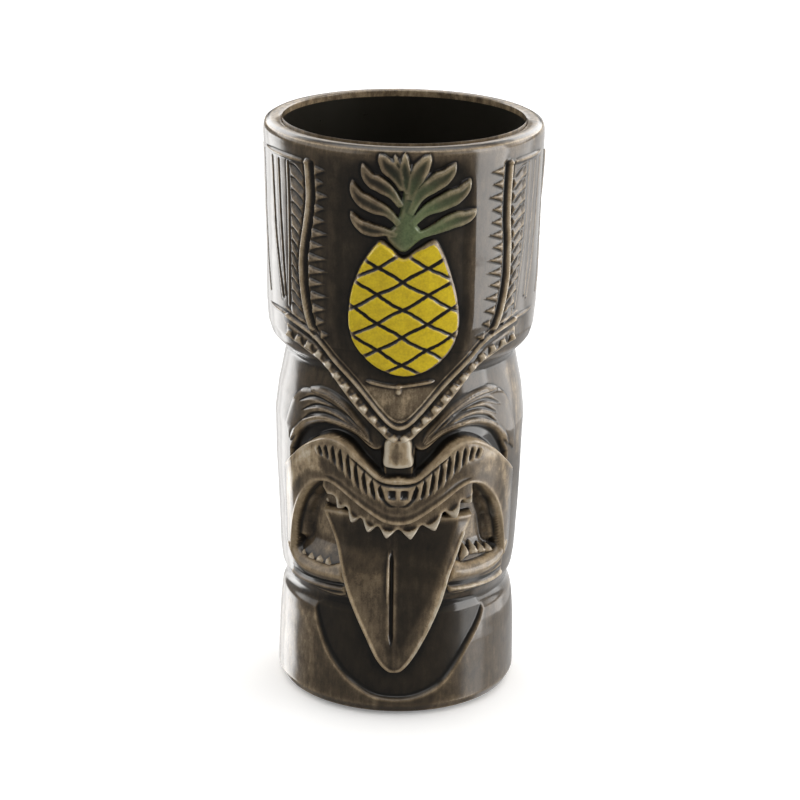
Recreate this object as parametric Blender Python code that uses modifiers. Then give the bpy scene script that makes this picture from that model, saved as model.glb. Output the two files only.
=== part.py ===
"""A slip-cast tiki mug: a hollow turned body, with the relief pieces that are luted on to it.

Frame: the origin is the centre of the foot, +Z is up, and the face looks towards -Y.
Sizes are in millimetres and angles in degrees. An angle is measured round the wall from the middle
of the face, positive towards +X. Blender gets metres.
"""

import math

import bmesh
import bpy

MM = 0.001
GAP = 0.3  # room between a relief piece and what it sits on
SEGMENTS = 60  # facets round the wall

# Driving dimensions
HEIGHT = 170.5
RIM_R = 40.1
HEADDRESS_R = 39.0
NECK_R = 33.3
BROW_R = 36.5
JAW_R = 35.2
CHIN_GROOVE_R = 32.8
BASE_R = 35.4
RIM_THICKNESS = 5.4
WELL_R = 29.3
FLOOR_Z = 8.0

# Levels up the mug
CHIN_GROOVE_Z = 33.0
JAW_Z = 46.0
BROW_Z = 84.0
NECK_Z = 104.0
HEADDRESS_Z = 112.0
CARVING_TOP_Z = 164.5

# How far each relief piece stands from the wall under it
FRUIT_HEIGHT = 2.2
CROWN_HEIGHT = 1.5
CHEVRON_HEIGHT = 1.3
PANEL_HEIGHT = 0.9
BROW_HEIGHT = 1.2
NOSE_HEIGHT = 3.4
UPPER_LIP_HEIGHT = 2.4
LOWER_LIP_HEIGHT = 2.0

# How deep each recess goes, as the radius of its floor
SHIELD_R = HEADDRESS_R - 0.45
MOUTH_FLOOR_R = 32.4
EYE_FLOOR_R = 34.6
CHIN_PANEL_R = BASE_R - 1.2
LATTICE_DEPTHS = (0.8, 1.0)

# Outer wall as (height, radius), foot to rim
WALL = (
    (0.0, BASE_R - 3.2),
    (1.0, BASE_R - 1.2),
    (3.2, BASE_R - 0.1),
    (20.0, BASE_R - 0.3),
    (CHIN_GROOVE_Z - 6.5, BASE_R - 0.8),
    (CHIN_GROOVE_Z - 3.5, BASE_R - 1.5),
    (CHIN_GROOVE_Z - 0.8, CHIN_GROOVE_R),
    (CHIN_GROOVE_Z + 0.8, CHIN_GROOVE_R),
    (CHIN_GROOVE_Z + 3.0, JAW_R - 1.1),
    (CHIN_GROOVE_Z + 7.0, JAW_R - 0.3),
    (JAW_Z, JAW_R),
    (BROW_Z - 18.0, BROW_R - 0.5),
    (BROW_Z, BROW_R),
    (BROW_Z + 8.0, BROW_R - 0.9),
    (NECK_Z - 5.0, NECK_R + 0.9),
    (NECK_Z, NECK_R),
    (NECK_Z + 1.6, NECK_R + 0.6),
    (NECK_Z + 3.2, HEADDRESS_R - 2.8),
    (NECK_Z + 5.0, HEADDRESS_R - 1.3),
    (HEADDRESS_Z, HEADDRESS_R - 0.4),
    (HEADDRESS_Z + 6.0, HEADDRESS_R),
    (HEIGHT - 34.0, HEADDRESS_R + 0.15),
    (HEIGHT - 16.0, RIM_R - 0.4),
    (HEIGHT - 3.5, RIM_R),
    (HEIGHT - 1.2, RIM_R - 0.5),
    (HEIGHT, RIM_R - 2.2),
)

# Inner wall as (height, radius), rim to floor
BORE_R = RIM_R - RIM_THICKNESS
WELL = (
    (HEIGHT, BORE_R + 1.6),
    (HEIGHT - 0.6, BORE_R + 0.5),
    (HEIGHT - 2.0, BORE_R),
    (HEADDRESS_Z + 6.0, BORE_R - 0.6),
    (HEADDRESS_Z - 3.0, BORE_R - 2.8),
    (NECK_Z - 1.0, WELL_R - 0.2),
    (JAW_Z, WELL_R),
    (FLOOR_Z + 8.0, WELL_R - 0.9),
    (FLOOR_Z + 2.2, WELL_R - 3.2),
    (FLOOR_Z, WELL_R - 9.0),
)

# Outlines on the wall as (angle, height), for the right-hand half, from the middle outwards
SHIELD_EDGE = ((0, 86.0), (4, 86.6), (38, 104.0), (50, 109.2), (57, 114.0))
SHIELD_TOP_Z = SHIELD_EDGE[-1][1]
UPPER_LIP_TOP = (
    (0, 74.0), (6, 74.4), (16, 79.0), (24, 83.5), (32, 85.2), (40, 83.8), (50, 80.0), (56, 76.5),
)
UPPER_LIP_SIDE = ((57, 70.0), (58.5, 61.6), (61, 53.0), (62, 46.2))
UPPER_LIP_EDGE = (
    (0, 60.0), (10, 62.0), (20, 66.3), (30, 70.0), (35, 71.0),
    (42, 69.5), (47, 66.5), (52, 61.0), (56.5, 52.0), (58.5, 46.2),
)
MOUTH_FLOOR_EDGE = ((0, 34.2), (25.5, 34.2), (29, 44.6), (58.5, 45.2))
EYE_UPPER_EDGE = ((8, 81.8), (17, 84.6), (27, 88.3), (36, 89.5), (46, 87.8), (57, 80.6))
EYE_LOWER_EDGE = ((8, 77.6), (16, 81.6), (24, 85.4), (32, 86.9), (40, 85.8), (50, 82.0), (57, 77.6))
BROW_UPPER_EDGE = ((9, 86.0), (16, 89.2), (26, 94.0), (36, 96.4), (47, 97.2), (57, 96.4), (64, 93.0))
BROW_LOWER_EDGE = ((9, 84.6), (17, 87.0), (27, 90.8), (36, 92.2), (46, 91.6), (56, 88.2), (64, 86.0))
NOSE_OUTLINE = ((-6.2, 85.6), (-7.2, 75.6), (7.2, 75.6), (6.2, 85.6))
LOWER_LIP_OUTLINE = ((30, 36.4), (60, 36.8), (62.5, 41.0), (61, 44.6), (48, 44.2), (33, 44.2))
CHIN_PANEL_EDGE = ((0, 4.6), (14, 6.2), (27, 12.0), (38, 19.5), (45, 26.5), (45.5, 29.6), (40, 31.0))
PANEL_FRONT_EDGE = (
    (41.5, CARVING_TOP_Z), (42, 152.0), (45, 141.0), (46.8, 131.0), (44.5, 121.5), (41, 115.0),
)
PANEL_REAR_EDGE = ((57, 119.0), (66, 122.5), (73, 131.0), (77, 144.0), (78, CARVING_TOP_Z))

# Teeth, as angles along the lips and heights
UPPER_TEETH = 8
UPPER_TOOTH_PITCH = 9.0
UPPER_TOOTH_LENGTH = 3.4
UPPER_GUM_HEIGHT = 3.0
UPPER_TEETH_R = (34.9, 36.8)
LOWER_TEETH = 4
LOWER_TOOTH_PITCH = 5.3
LOWER_TEETH_START = 35.8
LOWER_TEETH_BASE_Z = 45.6
LOWER_GUM_HEIGHT = 1.6
LOWER_TOOTH_LENGTH = 2.8
LOWER_TEETH_R = (MOUTH_FLOOR_R + GAP, 35.0)

# Chevron moulding: a band along the shield's edge, notched from below
CHEVRON_WIDTH = 4.8
CHEVRON_NOTCHES = 9
CHEVRON_NOTCH_DEPTH = 1.8
CHEVRON_MARGIN = 0.5

# Pineapple, as distances across from the middle of the face and heights
FRUIT_CENTRE_X = 0.8
FRUIT_OUTLINE = (
    (0.0, 104.6), (6.5, 105.4), (12.2, 109.4), (15.8, 115.6),
    (16.7, 122.0), (15.6, 129.4), (12.8, 136.6), (8.6, 142.6), (6.6, 144.2),
)
FRUIT_NOTCH_Z = 140.9
LATTICE_COLUMN = 6.9
LATTICE_ROW = 8.1
LATTICE_NODE_Z = 125.0
LATTICE_GROOVE = 0.9
CROWN_POINT = (0.4, 142.2)
CROWN_HEART = (0.4, 151.0)
CROWN_SHOULDERS = ((9.6, 147.6), (-8.8, 147.6))
CROWN_TIPS = (
    (20.0, 151.6), (18.2, 159.6), (13.8, 165.4), (5.2, 168.4), (0.3, 168.8),
    (-5.6, 168.2), (-10.8, 165.6), (-14.0, 160.4), (-14.6, 151.8),
)
CROWN_NOTCH = 0.62  # how far out from the heart the gap between two leaves starts

# Tongue, as (height, half width) and (height, radius)
TONGUE_OUTLINE = (
    (13.8, 0.6), (14.6, 3.0), (19.0, 6.6), (27.0, 10.2), (34.0, 13.2),
    (42.5, 15.6), (51.0, 18.2), (59.5, 21.6),
)
TONGUE_TIP_Z = TONGUE_OUTLINE[0][0]
TONGUE_ROOT_Z = TONGUE_OUTLINE[-1][0]
TONGUE_RIM_R = ((TONGUE_TIP_Z, 37.2), (22.0, 38.4), (38.0, 38.9), (53.5, 34.5), (TONGUE_ROOT_Z, 34.5))
TONGUE_BACK_R = (
    (TONGUE_TIP_Z, CHIN_PANEL_R + GAP), (CHIN_GROOVE_Z, CHIN_PANEL_R + GAP),
    (CHIN_GROOVE_Z + 3.0, MOUTH_FLOOR_R + 0.4), (TONGUE_ROOT_Z, MOUTH_FLOOR_R + 0.4),
)
TONGUE_MIDDLE_X = -0.4
TONGUE_HOLLOW = 1.2
TONGUE_ROWS = 16
TONGUE_COLUMNS = 8

# Colours, linear
BROWN = (0.055, 0.043, 0.033)
TAN = (0.17, 0.13, 0.085)
YELLOW = (0.66, 0.50, 0.02)
GREEN = (0.075, 0.095, 0.055)
GLAZE_ROUGHNESS = 0.15


def interpolate(stations, at):
    """The second value of a rising table of pairs at a given first value."""
    for (a, left), (b, right) in zip(stations, stations[1:]):
        if at <= b:
            return left + (right - left) * max(0.0, at - a) / (b - a)
    return stations[-1][1]


def wall_radius(z):
    return interpolate(WALL, z)


def front_radius(z):
    """The wall's radius where the shield covers it."""
    return max(wall_radius(z), SHIELD_R)


def above(base, height):
    return lambda z: base(z) + height


def fixed(radius):
    return lambda z: radius


def on_wall(line, radius=HEADDRESS_R):
    """A line of (angle, height) as (across, height), seen square on."""
    return [(radius * math.sin(math.radians(angle)), z) for angle, z in line]


def flipped(line):
    return [(-x, z) for x, z in line]


def mirrored(half):
    """A right-hand half line, led by its left-hand mirror image. Both share a point in the middle."""
    return flipped(reversed(half[1:])) + list(half)


def clear_scene():
    for obj in list(bpy.data.objects):
        bpy.data.objects.remove(obj, do_unlink=True)


def new_collection(name):
    made = bpy.data.collections.new(name)
    bpy.context.scene.collection.children.link(made)
    return made


def glaze(name, colour):
    made = bpy.data.materials.new(name)
    made.use_nodes = True
    shader = made.node_tree.nodes["Principled BSDF"]
    shader.inputs["Base Color"].default_value = (*colour, 1.0)
    shader.inputs["Roughness"].default_value = GLAZE_ROUGHNESS
    shader.inputs["Metallic"].default_value = 0.0
    return made


def add_object(name, mesh, colour):
    """A part when it has a colour, and a cutter when it has none."""
    obj = bpy.data.objects.new(name, mesh)
    if colour is None:
        obj.hide_render = True
        obj.display_type = "WIRE"
        cutters.objects.link(obj)
    else:
        mesh.materials.append(glaze(name, colour))
        parts.objects.link(obj)
    return obj


def boolean(obj, other, operation):
    modifier = obj.modifiers.new(other.name, "BOOLEAN")
    modifier.operation = operation
    modifier.solver = "EXACT"
    modifier.object = other


def turned(name, profile, colour, closed):
    """A turned solid, from a profile of (radius, height) that runs down its outer side."""
    shape = bmesh.new()
    points = [shape.verts.new((r * MM, 0.0, z * MM)) for r, z in profile]
    pairs = list(zip(points, points[1:]))
    if closed:
        pairs.append((points[-1], points[0]))
    for pair in pairs:
        shape.edges.new(pair)
    mesh = bpy.data.meshes.new(name)
    shape.to_mesh(mesh)
    shape.free()
    obj = add_object(name, mesh, colour)
    screw = obj.modifiers.new("Turn", "SCREW")
    screw.axis = "Z"
    screw.steps = SEGMENTS
    screw.render_steps = SEGMENTS
    screw.use_merge_vertices = True
    screw.merge_threshold = 0.00001
    return obj


def ring(name, low, high, inner, outer):
    """A cutter between two radii, given as functions of height, from the height low to high."""
    levels = sorted({low, high, *(z for z, _ in WALL if low < z < high)})
    profile = [(outer(z), z) for z in reversed(levels)] + [(inner(z), z) for z in levels]
    return turned(name, profile, None, closed=True)


def plate(name, outlines, colour):
    """Flat outlines of (across, height), pushed out from the mug's middle through the face."""
    near, far = 5.0, 50.0
    curve = bpy.data.curves.new(name + "_outline", "CURVE")
    curve.dimensions = "2D"
    curve.fill_mode = "BOTH"
    curve.extrude = (far - near) / 2 * MM
    for outline in outlines:
        spline = curve.splines.new("POLY")
        spline.points.add(len(outline) - 1)
        for point, (x, z) in zip(spline.points, outline):
            point.co = (x * MM, z * MM, 0.0, 1.0)
        spline.use_cyclic_u = True
    flat = bpy.data.objects.new(name + "_outline", curve)
    cutters.objects.link(flat)
    flat.rotation_euler = (math.pi / 2, 0.0, 0.0)
    flat.location = (0.0, -(near + far) / 2 * MM, 0.0)
    bpy.context.view_layer.update()
    mesh = bpy.data.meshes.new_from_object(flat.evaluated_get(bpy.context.evaluated_depsgraph_get()))
    shape = bmesh.new()
    shape.from_mesh(mesh)
    bmesh.ops.remove_doubles(shape, verts=shape.verts, dist=0.00001)
    bmesh.ops.recalc_face_normals(shape, faces=shape.faces)
    shape.to_mesh(mesh)
    shape.free()
    mesh.materials.clear()
    obj = add_object(name, mesh, colour)
    obj.matrix_world = flat.matrix_world
    bpy.data.objects.remove(flat)
    return obj


def relief(name, outlines, inner, outer, colour=None):
    """Outlines of (across, height) that follow the wall, between two radii given by height."""
    heights = [z for outline in outlines for _, z in outline]
    piece = plate(name, outlines, colour)
    boolean(piece, ring(name + "_ring", min(heights) - 1.0, max(heights) + 1.0, inner, outer), "INTERSECT")
    return piece


def wall_band(upper, lower):
    """A closed outline from an upper and a lower line of (angle, height), both running outwards."""
    return on_wall(list(upper) + list(reversed(lower)))


def make_body():
    profile = [(0.0, FLOOR_Z)]
    profile += [(r, z) for z, r in reversed(WELL)]
    profile += [(r, z) for z, r in reversed(WALL)]
    profile += [(0.0, 0.0)]
    body = turned("mug_body", profile, BROWN, closed=False)

    shield = on_wall(mirrored(SHIELD_EDGE))
    panel = on_wall(PANEL_FRONT_EDGE + PANEL_REAR_EDGE)
    brow = wall_band(BROW_UPPER_EDGE, BROW_LOWER_EDGE)
    mouth = on_wall(mirrored(UPPER_LIP_EDGE)[::-1] + mirrored(MOUTH_FLOOR_EDGE), JAW_R)
    eye = wall_band(EYE_UPPER_EDGE, EYE_LOWER_EDGE)
    chin = on_wall(mirrored(CHIN_PANEL_EDGE), JAW_R)
    beyond = fixed(RIM_R + 5.0)
    sunk = above(wall_radius, -1.0)
    boolean(body, relief("shield", [shield], sunk, fixed(SHIELD_R)), "UNION")
    boolean(body, relief("panels", [panel, flipped(panel)], sunk, above(wall_radius, PANEL_HEIGHT)), "UNION")
    boolean(body, relief("brows", [brow, flipped(brow)], sunk, above(wall_radius, BROW_HEIGHT)), "UNION")
    boolean(body, relief("mouth", [mouth], fixed(MOUTH_FLOOR_R), beyond), "DIFFERENCE")
    boolean(body, relief("eyes", [eye, flipped(eye)], fixed(EYE_FLOOR_R), beyond), "DIFFERENCE")
    boolean(body, relief("chin", [chin], fixed(CHIN_PANEL_R), beyond), "DIFFERENCE")


def make_chevron():
    """A V-shaped moulding on the shield, with triangular notches in its lower side."""
    start, end = SHIELD_EDGE[1][0], SHIELD_EDGE[-1][0] - 1.0
    lower = [(0, SHIELD_EDGE[0][1] + CHEVRON_MARGIN)]
    for step in range(2 * CHEVRON_NOTCHES + 1):
        angle = start + (end - start) * step / (2 * CHEVRON_NOTCHES)
        notch = CHEVRON_NOTCH_DEPTH if step % 2 else 0.0
        lower.append((angle, interpolate(SHIELD_EDGE, angle) + CHEVRON_MARGIN + notch))
    upper = [(min(angle, end), z + CHEVRON_WIDTH) for angle, z in SHIELD_EDGE]
    outline = on_wall(mirrored(lower) + mirrored(upper)[::-1])
    outer = above(front_radius, CHEVRON_HEIGHT)
    relief("chevron_band", [outline], above(front_radius, GAP), outer, BROWN)


def make_lattice(name, slope, depth):
    """A cutter of parallel diagonal bars, one for each line of nodes down the fruit."""
    bars = []
    reach = 3
    half = LATTICE_GROOVE / 2 * math.hypot(1.0, LATTICE_ROW / 2 / LATTICE_COLUMN)
    run = reach * LATTICE_COLUMN
    for row in range(-reach - 1, reach + 2):
        z = LATTICE_NODE_Z + row * LATTICE_ROW
        rise = slope * reach * LATTICE_ROW / 2
        left = FRUIT_CENTRE_X - run
        right = FRUIT_CENTRE_X + run
        bars.append([
            (left, z - rise - half), (right, z + rise - half),
            (right, z + rise + half), (left, z - rise + half),
        ])
    base = above(front_radius, FRUIT_HEIGHT - depth)
    return relief(name, bars, base, above(front_radius, FRUIT_HEIGHT + 2.0))


def make_pineapple():
    right = [(FRUIT_CENTRE_X + x, z) for x, z in FRUIT_OUTLINE]
    left = [(FRUIT_CENTRE_X - x, z) for x, z in reversed(FRUIT_OUTLINE[1:])]
    outline = right + [(CROWN_POINT[0], FRUIT_NOTCH_Z)] + left
    outer = above(front_radius, FRUIT_HEIGHT)
    fruit = relief("pineapple_fruit", [outline], above(front_radius, GAP), outer, YELLOW)
    boolean(fruit, make_lattice("lattice_up", 1.0, LATTICE_DEPTHS[0]), "DIFFERENCE")
    boolean(fruit, make_lattice("lattice_down", -1.0, LATTICE_DEPTHS[1]), "DIFFERENCE")

    crown = [CROWN_POINT, CROWN_SHOULDERS[0]]
    for tip, following in zip(CROWN_TIPS, CROWN_TIPS[1:]):
        crown.append(tip)
        crown.append(tuple(
            heart + CROWN_NOTCH * ((a + b) / 2 - heart) for heart, a, b in zip(CROWN_HEART, tip, following)
        ))
    crown += [CROWN_TIPS[-1], CROWN_SHOULDERS[1]]
    relief("pineapple_crown", [crown], above(wall_radius, GAP), above(wall_radius, CROWN_HEIGHT), GREEN)


def make_nose():
    relief("nose", [on_wall(NOSE_OUTLINE)], above(wall_radius, GAP), above(wall_radius, NOSE_HEIGHT), TAN)


def make_upper_lip():
    """The muzzle: a wave that rises over both cheeks and turns down round the mouth."""
    upper = mirrored(UPPER_LIP_TOP + UPPER_LIP_SIDE)
    outline = on_wall(upper + mirrored(UPPER_LIP_EDGE)[::-1], JAW_R)
    relief("upper_lip", [outline], above(wall_radius, GAP), above(wall_radius, UPPER_LIP_HEIGHT), BROWN)


def make_upper_teeth():
    """A gum under the upper lip, with pointed teeth that hang from it."""
    half = UPPER_TEETH * UPPER_TOOTH_PITCH / 2
    edge = mirrored(UPPER_LIP_EDGE)
    gum, teeth = [], []
    for step in range(2 * UPPER_TEETH + 1):
        angle = -half + step * UPPER_TOOTH_PITCH / 2
        z = interpolate(edge, angle)
        gum.append((angle, z - GAP))
        teeth.append((angle, z - UPPER_GUM_HEIGHT - (UPPER_TOOTH_LENGTH if step % 2 else 0.0)))
    inner, outer = UPPER_TEETH_R
    relief("upper_teeth", [on_wall(gum + teeth[::-1], JAW_R)], fixed(inner), fixed(outer), BROWN)


def make_lower_teeth(name, side):
    """A low gum in the corner of the mouth, with pointed teeth that stand on it."""
    base, teeth = [], []
    for step in range(2 * LOWER_TEETH + 1):
        angle = LOWER_TEETH_START + step * LOWER_TOOTH_PITCH / 2
        base.append((side * angle, LOWER_TEETH_BASE_Z))
        height = LOWER_GUM_HEIGHT + (LOWER_TOOTH_LENGTH if step % 2 else 0.0)
        teeth.append((side * angle, LOWER_TEETH_BASE_Z + height))
    inner, outer = LOWER_TEETH_R
    relief(name, [on_wall(base + teeth[::-1], inner)], fixed(inner), fixed(outer), BROWN)


def make_lower_lip(name, side):
    outline = [(side * x, z) for x, z in on_wall(LOWER_LIP_OUTLINE, JAW_R)]
    relief(name, [outline], above(wall_radius, GAP), above(wall_radius, LOWER_LIP_HEIGHT), BROWN)


def make_tongue():
    """A loft down the tongue: a hollowed front with raised rims, and a plain back."""
    shape = bmesh.new()
    sheets = []
    for back in (False, True):
        rows = []
        for row in range(TONGUE_ROWS + 1):
            z = TONGUE_TIP_Z + (TONGUE_ROOT_Z - TONGUE_TIP_Z) * (row / TONGUE_ROWS) ** 1.3
            half_width = interpolate(TONGUE_OUTLINE, z)
            line = []
            for column in range(TONGUE_COLUMNS + 1):
                across = 2 * column / TONGUE_COLUMNS - 1
                x = TONGUE_MIDDLE_X + half_width * across
                radius = interpolate(TONGUE_BACK_R, z)
                if not back:
                    fade = min(1.0, half_width / TONGUE_OUTLINE[3][1])
                    radius = interpolate(TONGUE_RIM_R, z) - TONGUE_HOLLOW * fade * (1 - abs(across))
                line.append(shape.verts.new((x * MM, -math.sqrt(radius**2 - x**2) * MM, z * MM)))
            rows.append(line)
        sheets.append(rows)
    front, rear = sheets
    for rows in sheets:
        for lower, upper in zip(rows, rows[1:]):
            for a, b, c, d in zip(lower, lower[1:], upper[1:], upper):
                shape.faces.new((a, b, c, d))
    for lines in (
        (front[0], rear[0]),
        (front[-1], rear[-1]),
        ([line[0] for line in front], [line[0] for line in rear]),
        ([line[-1] for line in front], [line[-1] for line in rear]),
    ):
        for a, b, c, d in zip(lines[0], lines[0][1:], lines[1][1:], lines[1]):
            shape.faces.new((a, b, c, d))
    bmesh.ops.recalc_face_normals(shape, faces=shape.faces)
    mesh = bpy.data.meshes.new("tongue")
    shape.to_mesh(mesh)
    shape.free()
    add_object("tongue", mesh, BROWN)


clear_scene()
parts = new_collection("tiki_mug")
cutters = new_collection("cutters")
make_body()
make_chevron()
make_pineapple()
make_nose()
make_upper_lip()
make_upper_teeth()
make_tongue()
make_lower_lip("lower_lip_left", -1)
make_lower_lip("lower_lip_right", 1)
make_lower_teeth("lower_teeth_left", -1)
make_lower_teeth("lower_teeth_right", 1)
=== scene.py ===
"""Looks for the glazed tiki mug.

The clay is a height map: over a grid of angles and heights it says how far the surface stands out from
the turned wall. The body is one such grid all the way round, and every relief is a closed plate of its
own that comes out of the body's wall. Angles are in degrees from the middle of the face, positive towards
+X, and the other sizes are in design millimetres, for a mug as tall as HEIGHT says.
"""

import copy
import math

import bmesh
import bpy
import numpy as np
from mathutils import Matrix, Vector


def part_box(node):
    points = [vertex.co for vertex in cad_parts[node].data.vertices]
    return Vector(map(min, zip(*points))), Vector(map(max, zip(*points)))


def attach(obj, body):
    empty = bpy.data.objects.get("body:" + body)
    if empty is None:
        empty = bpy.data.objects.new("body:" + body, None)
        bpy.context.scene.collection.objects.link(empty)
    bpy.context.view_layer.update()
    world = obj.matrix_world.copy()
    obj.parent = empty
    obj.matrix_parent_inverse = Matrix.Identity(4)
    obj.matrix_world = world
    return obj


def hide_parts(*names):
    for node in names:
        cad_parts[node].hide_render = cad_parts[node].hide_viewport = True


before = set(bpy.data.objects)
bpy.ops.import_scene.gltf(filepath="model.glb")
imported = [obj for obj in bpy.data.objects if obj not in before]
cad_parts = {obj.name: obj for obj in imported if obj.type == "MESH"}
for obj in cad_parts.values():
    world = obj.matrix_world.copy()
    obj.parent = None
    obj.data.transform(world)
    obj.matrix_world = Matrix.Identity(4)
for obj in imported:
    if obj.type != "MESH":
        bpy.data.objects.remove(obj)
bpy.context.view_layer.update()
_, body_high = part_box("mug_body")

# Driving dimensions
HEIGHT = 170.5
MM = body_high[2] / HEIGHT
RIM_R = body_high[0] / MM
HEADDRESS_R = RIM_R - 1.1
NECK_R = RIM_R - 6.8
BROW_R = RIM_R - 3.6
JAW_R = RIM_R - 4.9
CHIN_GROOVE_R = RIM_R - 7.3
BASE_R = RIM_R - 4.7
WELL_R = RIM_R - 10.8
RIM_THICKNESS = 5.4
SHIELD_R = HEADDRESS_R - 0.45
FLOOR_Z = 8.0
MM_PER_DEGREE = 0.646

# Grids, in millimetres between points
PITCH = 0.3
BACK_PITCH = 1.0
PLATE_PITCH = 0.26
DETAILED_ANGLE = 134.0
SINK = 0.5  # how deep a relief's rim goes into the wall
PLATE_BACK = 1.1  # how deep a relief's back lies in the wall
EDGE_RAMP = 0.4  # how wide the foot of a raised edge is

# The wall as (height, radius)
WALL = (
    (0, BASE_R - 3.2), (0.9, BASE_R - 1.3), (3.2, BASE_R), (10, BASE_R - 0.1), (20, BASE_R - 0.4),
    (26.5, BASE_R - 0.8), (29.4, BASE_R - 1.2), (31.2, BASE_R - 2.2), (32.4, CHIN_GROOVE_R),
    (33.8, CHIN_GROOVE_R + 0.1), (35.4, JAW_R - 1.6), (37.2, JAW_R - 0.8), (41, JAW_R - 0.3), (46, JAW_R),
    (66, BROW_R - 0.6), (84, BROW_R), (92, BROW_R - 0.9), (98, NECK_R + 1.1), (103.5, NECK_R),
    (105.2, NECK_R + 0.8), (106.8, HEADDRESS_R - 3), (108.6, HEADDRESS_R - 1.4), (112, HEADDRESS_R - 0.4),
    (118, HEADDRESS_R), (136, HEADDRESS_R + 0.15), (152, RIM_R - 0.5), (164, RIM_R - 0.1), (167, RIM_R),
    (168.8, RIM_R - 0.15), (169.9, RIM_R - 0.6), (HEIGHT, RIM_R - 1.8),
)
BORE_R = RIM_R - RIM_THICKNESS
WELL = (
    (HEIGHT, BORE_R + 1.3), (HEIGHT - 0.4, BORE_R + 0.45), (HEIGHT - 1.2, BORE_R + 0.1),
    (HEIGHT - 4, BORE_R), (118, BORE_R - 0.6), (109, BORE_R - 2.6), (103, WELL_R - 0.2), (84, WELL_R + 0.4),
    (46, WELL_R), (16, WELL_R - 0.9), (10.2, WELL_R - 3.2), (FLOOR_Z, WELL_R - 9),
)


# ---- lines and profiles

def smooth_line(points, steps=6, closed=False):
    """A Catmull-Rom line through the points."""
    points = [np.array(point, float) for point in points]
    before = points[-1] if closed else points[0]
    after = [points[0], points[1]] if closed else [points[-1]]
    chain = [before, *points, *after]
    line = [points[0]]
    for p0, p1, p2, p3 in zip(chain, chain[1:], chain[2:], chain[3:]):
        for t in np.arange(1, steps + 1) / steps:
            line.append(0.5 * (
                2 * p1 + (p2 - p0) * t + (2 * p0 - 5 * p1 + 4 * p2 - p3) * t**2
                + (3 * p1 - p0 - 3 * p2 + p3) * t**3
            ))
    return np.array(line[:-1] if closed else line)


def on_side(side, line):
    """A line of the right-hand half as it is for side 1, or its mirror image for side -1."""
    return [(side * angle, z) for angle, z in line]


def mirrored(half):
    """A right-hand half line, led by its mirror image."""
    first = half[1:] if half[0][0] == 0 else half
    return on_side(-1, reversed(first)) + list(half)


def shifted(line, across=0.0, up=0.0):
    """A line moved by some degrees and some millimetres."""
    return [(angle + across, z + up) for angle, z in line]


def smooth_step(t):
    """From 0 to 1 as t does, level at both ends."""
    t = np.clip(t, 0.0, 1.0)
    return t * t * (3.0 - 2.0 * t)


def bell(t):
    """A round bump, 1 at 0 and 0 from 1 on."""
    return np.clip(1.0 - t * t, 0.0, 1.0) ** 2


def rounded_edge(t):
    """From 0 at an edge to 1 inside it, upright at the edge like a quarter of a rounded square."""
    return (1.0 - (1.0 - np.clip(t, 0.0, 1.0)) ** 2.4) ** (1 / 2.4)


def wall_radius(z):
    """The turned wall's radius at a height. Its corners are rounded, except at the foot and the rim."""
    fine = np.arange(-4.0, HEIGHT + 4.0, 0.1)
    radius = np.interp(fine, *np.array(WALL).T)
    window = np.hanning(21)
    blurred = np.convolve(np.pad(radius, 10, mode="edge"), window / window.sum(), mode="valid")
    near_end = smooth_step((np.minimum(fine, HEIGHT - fine) - 1.5) / 3.0)
    return np.interp(z, fine, radius + (blurred - radius) * near_end)


def measure(x, z, line, closed):
    """For each point: distance to the line, progress along it from 0 to 1, and if it is inside."""
    points = np.array(line, float) * (MM_PER_DEGREE, 1.0)
    starts = points if closed else points[:-1]
    ends = np.roll(points, -1, axis=0) if closed else points[1:]
    total = np.hypot(*(ends - starts).T).sum()
    nearest = np.full(x.shape, np.inf)
    progress = np.zeros(x.shape)
    inside = np.zeros(x.shape, bool)
    walked = 0.0
    for (x0, z0), (x1, z1) in zip(starts, ends):
        dx, dz = x1 - x0, z1 - z0
        length = math.hypot(dx, dz) + 1e-9
        t = np.clip(((x - x0) * dx + (z - z0) * dz) / length**2, 0.0, 1.0)
        distance = np.hypot(x - x0 - t * dx, z - z0 - t * dz)
        closer = distance < nearest
        nearest[closer] = distance[closer]
        progress[closer] = (walked + t[closer] * length) / total
        walked += length
        if closed and dz:
            inside ^= ((z0 > z) != (z1 > z)) & (x < x0 + (z - z0) * dx / dz)
    return nearest, progress, inside


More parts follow.
